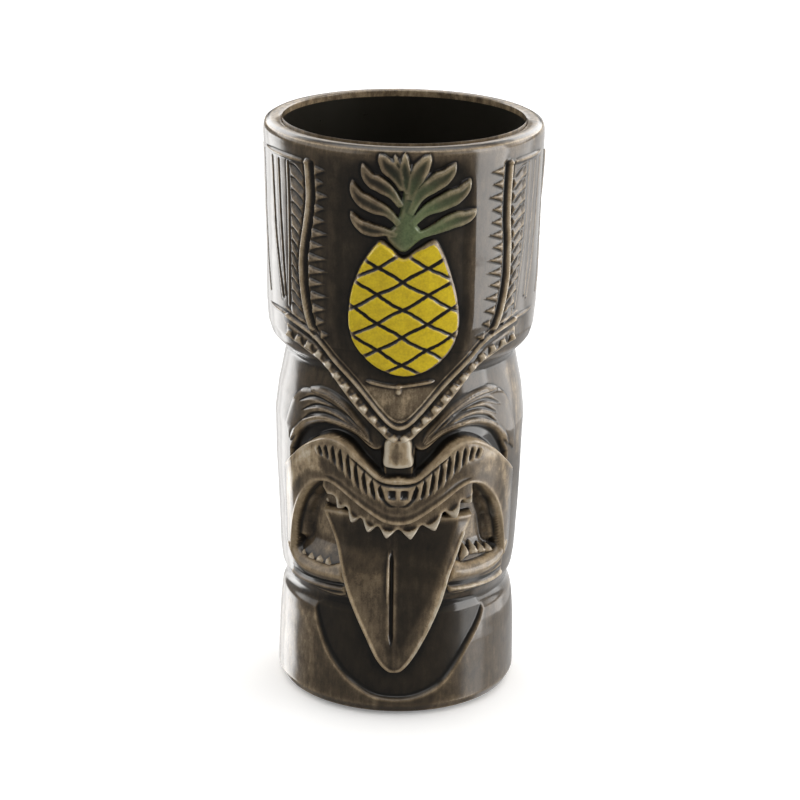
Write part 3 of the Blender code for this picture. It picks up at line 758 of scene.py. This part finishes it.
# painted light and shade on the tongue: a lighter lower left face, where it is lit and thinned by brushing; a
# painted reflection on the flat right rim; painted shade under the teeth and over the right half
TONGUE_PAINTED_LIGHT = (
    (((-24, 47), (-5, 46), (-4.5, 22), (-12, 22), (-19, 32)), 0.35, 3.0),
    (((30, 58), (39, 61), (26, 44), (18, 31), (8, 17), (2, 16), (6, 22), (18, 42)), 0.5, 1.6),
    (((-37, 61), (-1, 61), (-1, 48), (-27, 50)), -0.35, 4.0),
    (((-1, 61), (30, 60), (17, 40), (2, 20), (-1, 24)), -0.45, 1.5),
)
CHIN_PANEL = (
    (0, 4.6), (-11, 5.4), (-20, 8.2), (-28, 11.8), (-35, 16.6), (-40, 21.8), (-43.6, 27), (-44.6, 30.4),
    (-40, 33.4), (-33, 35.2), (0, 36.5), (33, 35.2), (43, 34.4), (48.4, 31), (45.4, 26), (38, 20),
    (30, 13.4), (22, 8.4), (11, 5.4),
)
CHIN_PANEL_R = ((0, BASE_R - 1.3), (20, BASE_R - 1.8), (31, BASE_R - 2.1), (33, CHIN_GROOVE_R + 0.1))
BELOW_PANEL = ((-8, 5.6), (-12, -2), (15, -2), (24, 8))


def model_tongue(skin):
    """A long tongue with rolled rims, and a valley that falls from both sides to a groove."""
    left, right = smooth_line(TONGUE_LEFT, 8), smooth_line(TONGUE_RIGHT, 8)
    outline = np.concatenate([left, right[::-1]])
    crown = smooth_line([(radius, z) for z, radius in TONGUE_R], 8)
    top = np.interp(skin.z, crown[:, 1], crown[:, 0]) - skin.wall
    middle = np.interp(skin.z, [z for _, z in TONGUE_GROOVE], [angle for angle, _ in TONGUE_GROOVE])
    edge_left = np.interp(skin.z, left[:, 1], left[:, 0]) + 1.8
    rim = np.interp(skin.z, *np.array(TONGUE_RIM).T)
    edge_right = np.interp(skin.z, right[:, 1], right[:, 0]) - rim
    reach = np.where(skin.angle < middle, middle - edge_left, edge_right - middle)
    share = np.clip(np.abs(skin.angle - middle) / np.maximum(reach, 0.5), 0.0, 1.0)
    depth = smooth_line([(deep, z) for z, deep in TONGUE_VALLEY], 8)
    valley = np.interp(skin.z, depth[:, 1], depth[:, 0]) * (1.0 - share**1.15) * smooth_step(reach / 3.0)
    skin.boss(outline, top - valley, 1.3)
    skin.groove(TONGUE_GROOVE, 1.7, 0.8, 0.12)
    skin.ridge(TONGUE_FOLD, 1.2, 0.6, 0.3)
    rims = np.concatenate([(left + (1.3, 0.9))[::-1], right[:-12] + (-1.4, 0.9)])
    skin.ridge(rims, 1.6, 0.5)
    # painted light and shade over the tongue
    for area, amount, softness in TONGUE_PAINTED_LIGHT:
        skin.shade(area, amount, softness)


def carve_base(skin):
    """The foot's wall, with a sunk panel behind the tongue, painted shade in the panel and painted light on
    the left.
    """
    panel = smooth_line(CHIN_PANEL, 5, closed=True)
    floor = np.interp(skin.z, *np.array(CHIN_PANEL_R).T) - skin.wall
    skin.recess(panel, floor, 1.4)
    # glaze a little lighter all round the foot, and painted light on its left side, where it catches the
    # light
    beside = smooth_step((-38.0 - skin.angle) / 10.0)
    skin.tone += (0.05 + 0.55 * beside) * smooth_step((29.0 - skin.z) / 2.0)
    # painted shade in the sunk panel
    skin.shade(panel, -0.6, 1.4)
    skin.shade(BELOW_PANEL, -0.5, 2.0)


# ---- meshes

def blurred(grid, size, wrapped):
    """A grid smoothed with a box of about this many points, three times over."""
    size = max(1, int(round(size)))
    for _ in range(3):
        for axis in (0, 1):
            mode = "wrap" if wrapped and axis == 1 else "edge"
            pad = [(0, 0), (0, 0)]
            pad[axis] = (size + 1, size)
            total = np.cumsum(np.pad(grid, pad, mode=mode), axis=axis)
            upper = total.take(range(2 * size + 1, total.shape[axis]), axis=axis)
            lower = total.take(range(0, total.shape[axis] - 2 * size - 1), axis=axis)
            grid = (upper - lower) / (2 * size + 1)
    return grid


def wear(surface, pitch, wrapped):
    """How far the glaze has thinned, from -1 in grooves to 1 on ridges, at a fine and a broad scale."""
    fine = surface - blurred(surface, 0.42 / pitch, wrapped)
    broad = surface - blurred(surface, 2.2 / pitch, wrapped)
    return np.tanh(5.5 * fine + 0.40 * broad)


def to_vectors(angle, radius, z):
    """Points in metres, one row each, for grids of angle, radius and height."""
    turn = np.radians(angle)
    return np.stack([radius * np.sin(turn), -radius * np.cos(turn), z], axis=-1).reshape(-1, 3) * MM


def fill(collection, key, values, kind):
    collection.foreach_set(key, np.ascontiguousarray(values, dtype=kind).ravel())


def add_mesh(name, points, quads, values, materials, indices=None):
    """A smooth mesh of quads, with a float attribute for each named array of values."""
    mesh = bpy.data.meshes.new(name)
    mesh.vertices.add(len(points))
    fill(mesh.vertices, "co", points, np.float32)
    mesh.loops.add(len(quads) * 4)
    fill(mesh.loops, "vertex_index", quads, np.int32)
    mesh.polygons.add(len(quads))
    fill(mesh.polygons, "loop_start", np.arange(len(quads)) * 4, np.int32)
    fill(mesh.polygons, "use_smooth", np.ones(len(quads)), bool)
    for material in materials:
        mesh.materials.append(material)
    if indices is not None:
        fill(mesh.polygons, "material_index", indices, np.int32)
    for key, value in values.items():
        fill(mesh.attributes.new(key, "FLOAT", "POINT").data, "value", value, np.float32)
    mesh.update(calc_edges=True)
    mesh.validate()
    piece = bpy.data.objects.new(name, mesh)
    bpy.context.scene.collection.objects.link(piece)
    return piece


def add_plate(node, low, high, shape, material):
    """A relief as a closed plate between two corners of (angle, z), shaped by a function of its skin."""
    across = np.arange(low[0], high[0] + 0.01, PLATE_PITCH / MM_PER_DEGREE)
    up = np.arange(low[1], high[1] + 0.01, PLATE_PITCH)
    angle, z = np.meshgrid(across, up)
    under = Skin(angle, z)
    carve_body(under)
    skin = under.standing()
    shape(skin)
    for _ in range(2):
        steep = smooth_step(np.hypot(*np.gradient(skin.height, PLATE_PITCH)) / 4.0)
        skin.height += (blurred(skin.height, 1, False) - skin.height) * blurred(steep, 1, False)
    used = blurred((skin.height > skin.ground - SINK + 0.001).astype(float), 2, False) > 0.001
    cell = used[:-1, :-1] | used[1:, :-1] | used[:-1, 1:] | used[1:, 1:]
    ground = np.minimum(skin.ground, blurred(skin.ground, 3, False))
    base = skin.wall + np.minimum(ground - PLATE_BACK, skin.height - SINK)
    surface = skin.wall + skin.height
    front = to_vectors(angle, surface, z)
    back = to_vectors(angle, base, z)
    count = angle.size
    index = np.arange(count).reshape(angle.shape)
    a, b, c, d = index[:-1, :-1], index[:-1, 1:], index[1:, 1:], index[1:, :-1]
    faces = [np.stack([a, b, c, d], -1)[cell], np.stack([d, c, b, a], -1)[cell] + count]
    padded = np.pad(cell, 1)
    rows, columns = cell.shape
    for down, right, start, end in ((-1, 0, a, b), (1, 0, c, d), (0, -1, d, a), (0, 1, b, c)):
        beyond = padded[1 + down:1 + down + rows, 1 + right:1 + right + columns]
        rim = cell & ~beyond
        faces.append(np.stack([start[rim], start[rim] + count, end[rim] + count, end[rim]], -1))
    quads = np.concatenate(faces)
    kept, quads = np.unique(quads, return_inverse=True)
    points = np.concatenate([front, back])[kept]
    values = {"wear": wear(surface, PLATE_PITCH, False), "paint": skin.paint, "tone": skin.tone}
    values = {key: np.tile(grid.ravel(), 2)[kept] for key, grid in values.items()}
    piece = add_mesh(node + "_glazed", points, quads.reshape(-1, 4), values, [material])
    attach(piece, "root")
    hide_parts(node)


BROWN, INSIDE, BARE = 0, 1, 2  # the body's material slots
FOOT_RINGS = (0.0, 10.0, 20.0, 28.0, BASE_R - 4.4, BASE_R - 3.4)
FLOOR_RINGS = (16.0, 10.0, 5.0, 0.0)
RIM_CROWN = 0.15  # how much higher the middle of the rim is than its sides
RIM_GLAZE_DEPTH = 1.2  # how far down inside the rim the brown glaze reaches
RIM_WEAR = 0.3


def body_columns():
    """Angles round the mug: close together over the carved front, wider at the plain back."""
    front = np.arange(-DETAILED_ANGLE, DETAILED_ANGLE, PITCH / MM_PER_DEGREE)
    count = int((360 - 2 * DETAILED_ANGLE) * MM_PER_DEGREE / BACK_PITCH)
    back = DETAILED_ANGLE + (360 - 2 * DETAILED_ANGLE) * np.arange(count) / count
    return np.concatenate([front, back])


def carve_body(skin):
    """Everything that is part of the body itself, and not a relief of its own."""
    carve_headdress(skin)
    carve_face(skin)
    carve_mouth(skin)
    carve_base(skin)


def add_body(materials):
    """The hollow mug: underside, carved outer wall, rim, drink space and floor, as one closed skin."""
    outer_z = np.arange(0.0, HEIGHT + 0.01, PITCH)
    profile = [(radius, 0.0, BARE) for radius in FOOT_RINGS]
    outside = slice(len(profile), len(profile) + len(outer_z))
    profile += [(radius, z, BROWN) for z, radius in zip(outer_z, wall_radius(outer_z))]
    inner = smooth_line([(radius, z) for z, radius in WELL], 8)
    rim_middle = (RIM_R + BORE_R) / 2
    profile += [(rim_middle + across, HEIGHT + RIM_CROWN, BROWN) for across in (0.6, -0.4)]
    profile += [(radius, z, BROWN if z > HEIGHT - RIM_GLAZE_DEPTH else INSIDE) for radius, z in inner]
    profile += [(radius, FLOOR_Z - 0.15, INSIDE) for radius in FLOOR_RINGS]
    radius, height, finish = (np.array(column) for column in zip(*profile))
    columns = body_columns()
    wrapped_angle = np.where(columns > 180, columns - 360, columns)
    angle, z = np.meshgrid(wrapped_angle, height[outside])
    skin = Skin(angle, z)
    carve_body(skin)
    whole = skin.standing()
    whole.height = skin.height.copy()
    for *_, shape in PLATES:
        shape(whole)
    skin.wave(0.10, 34.0, 7)
    skin.wave(0.035, 13.0, 11)
    skin.height *= smooth_step((HEIGHT - 1.0 - z) / 2.5) * smooth_step((z - 0.6) / 2.0)
    full = np.tile(radius[:, None], (1, len(columns)))
    full[outside] += skin.height
    worn = np.full(full.shape, RIM_WEAR)
    # painted light on the rim, lighter at the sides and the back
    tone = np.tile(rim_painted_light(wrapped_angle), (len(radius), 1))
    worn[outside] = wear(whole.wall + whole.height, PITCH, True)
    tone[outside] = skin.tone
    points = to_vectors(*np.broadcast_arrays(wrapped_angle[None, :], full, height[:, None]))
    rows, count = full.shape
    index = np.arange(rows * count).reshape(rows, count)
    following = np.roll(index, -1, axis=1)
    quads = np.stack([index[:-1], following[:-1], following[1:], index[1:]], -1).reshape(-1, 4)
    finish = np.repeat(finish[:-1], count)
    values = {"wear": worn, "tone": tone}
    body = add_mesh("mug_body_glazed", points, quads, values, materials, finish)
    weld_centres(body)
    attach(body, "root")
    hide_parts("mug_body")


def weld_centres(piece):
    """Joins the points on the axis, at the middle of the foot and of the floor."""
    shape = bmesh.new()
    shape.from_mesh(piece.data)
    middle = [vert for vert in shape.verts if math.hypot(vert.co.x, vert.co.y) < 1e-6]
    bmesh.ops.remove_doubles(shape, verts=middle, dist=1e-5)
    shape.to_mesh(piece.data)
    shape.free()


PLATES = (  # node, low corner, high corner, material slot, shape
    ("chevron_band", (-60, 83), (60, 121), "brown_glaze", model_chevron),
    ("pineapple_fruit", (-26, 103), (28, 148), "yellow_glaze", model_fruit),
    ("pineapple_crown", (-25, 139), (33, 169.4), "green_glaze", model_crown),
    ("nose", (-10, 73), (10, 88), "tan_glaze", model_nose),
    ("upper_lip", (-79, 44), (79, 88), "brown_glaze", model_muzzle),
    ("upper_teeth", (-38, 51), (38, 75), "brown_glaze", model_upper_teeth),
    ("tongue", (-43, 13), (43, 65), "brown_glaze", model_tongue),
    ("lower_lip_left", (-64, 33), (-23, 51), "brown_glaze", lambda skin: model_lower_lip(skin, -1)),
    ("lower_lip_right", (23, 33), (64, 51), "brown_glaze", lambda skin: model_lower_lip(skin, 1)),
    ("lower_teeth_left", (-57, 43), (-31, 55), "brown_glaze",
     lambda skin: model_lower_teeth(skin, LOWER_TEETH_LEFT, -1)),
    ("lower_teeth_right", (31, 43), (57, 55), "brown_glaze",
     lambda skin: model_lower_teeth(skin, LOWER_TEETH_RIGHT, 1)),
)


# ---- materials

def set_inputs(tree, node, inputs):
    """Links each of a node's inputs to a socket, or sets it to a value."""
    for key, value in inputs.items():
        if isinstance(value, bpy.types.NodeSocket):
            tree.links.new(value, node.inputs[key])
        else:
            node.inputs[key].default_value = value


def add_node(tree, kind, inputs=None, **settings):
    made = tree.nodes.new(kind)
    for key, value in settings.items():
        setattr(made, key, value)
    set_inputs(tree, made, inputs or {})
    return made


def calculate(tree, operation, *values, clamp=False):
    inputs = dict(enumerate(values))
    return add_node(tree, "ShaderNodeMath", inputs, operation=operation, use_clamp=clamp).outputs[0]


def noise(tree, place, scale, stretch=(1, 1, 1), detail=4.0):
    """Noise from 0 to 1. The scale is in features per millimetre, and a stretch above 1 shortens them."""
    mapping = add_node(tree, "ShaderNodeMapping", {"Vector": place, "Scale": stretch})
    inputs = {"Vector": mapping.outputs[0], "Scale": scale / MM, "Detail": detail, "Roughness": 0.6}
    return add_node(tree, "ShaderNodeTexNoise", inputs).outputs["Fac"]


def ramp(tree, factor, stops):
    made = add_node(tree, "ShaderNodeValToRGB", {"Fac": factor})
    elements = made.color_ramp.elements
    while len(elements) < len(stops):
        elements.new(0.5)
    for element, (position, colour) in zip(elements, stops):
        element.position = position
        element.color = (*colour, 1.0)
    return made.outputs["Color"]


def blend_colour(tree, factor, first, second):
    inputs = {0: factor, 6: first, 7: second}  # the node's own numbers for its factor and its two colours
    return add_node(tree, "ShaderNodeMix", inputs, data_type="RGBA").outputs[2]


GLAZE_STOPS = (
    (0.0, (0.010, 0.008, 0.006)),
    (0.20, (0.033, 0.024, 0.0145)),
    (0.42, (0.088, 0.063, 0.038)),
    (0.60, (0.190, 0.140, 0.085)),
    (0.80, (0.430, 0.325, 0.200)),
    (1.0, (0.640, 0.560, 0.430)),
)
GLAZE_LIFT = 0.34
WEAR_SHARE = 0.42
TONE_SHARE = 0.34


def new_material(name):
    """A material, its tree, its shader, and the place on the mug that its noises are laid out by."""
    material = bpy.data.materials.new(name)
    material.use_nodes = True
    tree = material.node_tree
    place = add_node(tree, "ShaderNodeTexCoord").outputs["Object"]
    return material, tree, tree.nodes["Principled BSDF"], place


def attribute(tree, name):
    return add_node(tree, "ShaderNodeAttribute", attribute_name=name).outputs["Fac"]


def spread(tree, value, low, high, to_low, to_high):
    """A value moved from one range to another, and kept inside it."""
    inputs = {"Value": value, "From Min": low, "From Max": high, "To Min": to_low, "To Max": to_high}
    return add_node(tree, "ShaderNodeMapRange", inputs).outputs[0]


def finish_glaze(tree, shader, place, colour, base_roughness):
    """A coloured glaze under a clear glossy one, with the slight pitting of a fired surface."""
    pits = noise(tree, place, 0.9, detail=3.0)
    ripple = noise(tree, place, 0.11, detail=2.0)
    surface = calculate(tree, "ADD", calculate(tree, "MULTIPLY", pits, 0.10), ripple)
    bump = add_node(tree, "ShaderNodeBump", {"Height": surface, "Strength": 0.12, "Distance": 0.5 * MM})
    roughness = spread(tree, noise(tree, place, 0.35), 0.0, 1.0, base_roughness - 0.08, base_roughness + 0.12)
    set_inputs(tree, shader, {
        "Base Color": colour, "Roughness": roughness, "Specular IOR Level": 0.25, "Normal": bump.outputs[0],
        "Coat Weight": 1.0, "Coat Roughness": 0.05, "Coat IOR": 1.5, "Coat Normal": bump.outputs[0],
    })


def glaze_colour(tree, place, lift):
    """Brown glaze that pools dark in grooves and thins to tan on ridges, with streaks where it is thin."""
    tone = attribute(tree, "tone")
    thin = calculate(tree, "MULTIPLY_ADD", attribute(tree, "wear"), WEAR_SHARE, lift)
    # the tone brings in painted light and shade as well as glaze thinned by brushing
    thin = calculate(tree, "MULTIPLY_ADD", tone, TONE_SHARE, thin)
    streak_strength = spread(tree, tone, -0.5, 0.7, 0.35, 1.0)
    for scale, stretch, detail, share in (
        (0.75, (1, 1, 0.20), 5.0, 0.50),
        (0.085, (1, 1, 1), 4.0, 0.40),
        (0.40, (1, 1, 0.60), 6.0, 0.75),
        (2.2, (1, 1, 1), 2.0, 0.30),
    ):
        grain = calculate(tree, "SUBTRACT", noise(tree, place, scale, stretch, detail), 0.5)
        thin = calculate(tree, "MULTIPLY_ADD", grain, calculate(tree, "MULTIPLY", streak_strength, share), thin)
    return ramp(tree, thin, GLAZE_STOPS)


def brown_glaze(name, lift=GLAZE_LIFT):
    material, tree, shader, place = new_material(name)
    finish_glaze(tree, shader, place, glaze_colour(tree, place, lift), 0.30)
    return material


def painted_glaze(name, light, dark, lift, coat=None):
    """Brown glaze with an enamel painted over it, where the mesh's paint says."""
    material, tree, shader, place = new_material(name)
    edge = calculate(tree, "MULTIPLY_ADD", noise(tree, place, 1.1), 0.5, attribute(tree, "paint"))
    amount = spread(tree, edge, 0.20, 0.34, 0.0, 1.0)
    if coat:
        amount = calculate(tree, "MULTIPLY", amount, coat(tree, place), clamp=True)
    fine, broad = noise(tree, place, 1.6), noise(tree, place, 0.3)
    mottle = calculate(tree, "MULTIPLY_ADD", fine, 0.5, calculate(tree, "MULTIPLY", broad, 0.5))
    enamel = ramp(tree, mottle, ((0.36, dark), (0.60, light)))
    colour = blend_colour(tree, amount, glaze_colour(tree, place, lift), enamel)
    finish_glaze(tree, shader, place, colour, 0.32)
    return material


def leaf_coat(tree, place):
    """Green that is strongest at the stalk's foot, and thin towards the tips and on the left."""
    low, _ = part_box("pineapple_crown")
    foot = (2.5 * MM, low[1], low[2] + 5 * MM)
    away = add_node(tree, "ShaderNodeVectorMath", {0: place, 1: foot}, operation="DISTANCE")
    near = spread(tree, away.outputs["Value"], 4 * MM, 17 * MM, 1.0, 0.18)
    split = add_node(tree, "ShaderNodeSeparateXYZ", {"Vector": place})
    lean = spread(tree, split.outputs[0], -6 * MM, 1.5 * MM, 0.10, 1.0)
    patchy = calculate(tree, "ADD", noise(tree, place, 0.16), 0.40)
    return calculate(tree, "MULTIPLY", calculate(tree, "MULTIPLY", near, lean), patchy)


def inside_glaze():
    material, tree, shader, place = new_material("inside_glaze")
    depth = noise(tree, place, 0.05)
    colour = ramp(tree, depth, ((0.2, (0.013, 0.012, 0.009)), (0.8, (0.022, 0.019, 0.014))))
    finish_glaze(tree, shader, place, colour, 0.30)
    return material


def bare_clay():
    """The dull, grainy clay of the foot."""
    material, tree, shader, place = new_material("bare_clay")
    grain = noise(tree, place, 1.4, detail=6.0)
    colour = ramp(tree, grain, ((0.3, (0.36, 0.30, 0.23)), (0.7, (0.56, 0.49, 0.40))))
    bump = add_node(tree, "ShaderNodeBump", {"Height": grain, "Strength": 0.4, "Distance": 0.2 * MM})
    set_inputs(tree, shader, {"Base Color": colour, "Normal": bump.outputs[0], "Roughness": 0.85})
    return material


# ---- studio

CAMERA_DISTANCE = 750.0
CAMERA_ELEVATION = 18.94
CAMERA_ROLL = 0.93
CAMERA_LENS, CAMERA_SENSOR = 114.5, 36.0
CAMERA_SHIFT = (0.0004, 0.00135)
FLOOR_SIZE = 3.0
PANELS = (  # turn towards +X from the camera in degrees, how soft its ends are, lowest and highest z, light
    (-179, -160, 6, -0.50, -0.14, 0.8),
    (-154, -142, 6, -0.50, -0.14, 1.6),
    (-136, -121, 9, -0.50, -0.14, 3.2),
    (75, 88, 10, -0.75, -0.38, 1.45),
    (96, 124, 8, -0.75, -0.38, 0.40),
    (63, 90, 4, -0.325, 0.45, 3.8),
    (92, 124, 8, -0.325, 0.0, 2.2),
    (132, 168, 8, -0.75, -0.38, 0.4),
    (132, 168, 8, -0.325, 0.0, 0.75),
    (-160, -112, 15, 0.14, 0.60, 2.2),
    (112, 160, 15, 0.14, 0.60, 2.2),
    (-182, -46, 20, 0.20, 0.70, 0.9),
    (46, 182, 20, 0.20, 0.70, 0.9),
)
PANEL_EDGE = 0.035  # how soft the panels' lower and upper edges are
DIM_ROOM = 0.13
CEILING, CEILING_Z = 1.45, 0.88
BACKDROP = 1.1
FLOOR_SEEN, FLOOR_LIT, FLOOR_GLOW = 0.95, 0.55, 0.20


def add_floor():
    """A pale floor. It isn't mirrored in the glaze, so that panels below the horizon can be."""
    bpy.ops.mesh.primitive_plane_add(size=FLOOR_SIZE)
    floor = bpy.context.object
    floor.name = "floor"
    floor.location.z = -0.2 * MM
    floor.visible_glossy = False
    material, tree, shader, _ = new_material("floor_white")
    seen = add_node(tree, "ShaderNodeLightPath").outputs["Is Camera Ray"]
    white = blend_colour(tree, seen, (FLOOR_LIT,) * 3 + (1.0,), (FLOOR_SEEN,) * 3 + (1.0,))
    glow = calculate(tree, "MULTIPLY", seen, FLOOR_GLOW)
    set_inputs(tree, shader, {
        "Base Color": white, "Roughness": 0.9,
        "Emission Color": (1.0, 1.0, 1.0, 1.0), "Emission Strength": glow,
    })
    floor.data.materials.append(material)


def window(tree, value, low, high, softness):
    """1 where a value lies between two bounds, falling softly to 0 outside them."""
    rise = spread(tree, value, low - softness, low, 0.0, 1.0)
    fall = spread(tree, value, high, high + softness, 1.0, 0.0)
    return calculate(tree, "MULTIPLY", rise, fall)


def add_studio():
    """A plain studio made of the world's light alone: a dim room, a bright ceiling and soft panels."""
    world = bpy.data.worlds.new("studio")
    bpy.context.scene.world = world
    world.use_nodes = True
    tree = world.node_tree
    background = tree.nodes["Background"]
    direction = add_node(tree, "ShaderNodeTexCoord").outputs["Generated"]
    split = add_node(tree, "ShaderNodeSeparateXYZ", {"Vector": direction})
    ahead = calculate(tree, "MULTIPLY", split.outputs[1], -1.0)
    turn = calculate(tree, "MULTIPLY", calculate(tree, "ARCTAN2", split.outputs[0], ahead), 180 / math.pi)
    ceiling = calculate(tree, "MULTIPLY", window(tree, split.outputs[2], CEILING_Z, 2.0, 0.1), CEILING)
    light = calculate(tree, "ADD", DIM_ROOM, ceiling)
    for first, last, softness, low, high, level in PANELS:
        across = window(tree, turn, first, last, softness)
        upward = window(tree, split.outputs[2], low, high, PANEL_EDGE)
        panel = calculate(tree, "MULTIPLY", across, upward)
        light = calculate(tree, "MULTIPLY_ADD", panel, level, light)
    seen = add_node(tree, "ShaderNodeLightPath").outputs["Is Camera Ray"]
    strength = add_node(tree, "ShaderNodeMix", {"Factor": seen, "A": light, "B": BACKDROP}).outputs[0]
    set_inputs(tree, background, {"Strength": strength, "Color": (1.0, 0.99, 0.975, 1.0)})


def add_camera():
    data = bpy.data.cameras.new("camera")
    data.lens = CAMERA_LENS
    data.sensor_width = CAMERA_SENSOR
    data.shift_x, data.shift_y = CAMERA_SHIFT
    camera = bpy.data.objects.new("camera", data)
    bpy.context.scene.collection.objects.link(camera)
    tilt = math.radians(CAMERA_ELEVATION)
    back, up = CAMERA_DISTANCE * math.cos(tilt), CAMERA_DISTANCE * math.sin(tilt)
    place = Matrix.Translation((0.0, -back * MM, (HEIGHT / 2 + up) * MM))
    turn = Matrix.Rotation(math.pi / 2 - tilt, 4, "X") @ Matrix.Rotation(math.radians(CAMERA_ROLL), 4, "Z")
    camera.matrix_world = place @ turn
    bpy.context.scene.camera = camera


brown = brown_glaze("brown_glaze")
finishes = {
    "brown_glaze": brown,
    "tan_glaze": brown_glaze("tan_glaze", 0.60),
    "yellow_glaze": painted_glaze("yellow_glaze", (0.80, 0.60, 0.015), (0.60, 0.42, 0.010), 0.26),
    "green_glaze": painted_glaze("green_glaze", (0.175, 0.225, 0.10), (0.10, 0.14, 0.062), 0.24, leaf_coat),
}
add_body([brown, inside_glaze(), bare_clay()])
for node, low, high, slot, shape in PLATES:
    add_plate(node, low, high, shape, finishes[slot])
add_floor()
add_studio()
add_camera()
bpy.context.scene.view_settings.view_transform = "Standard"
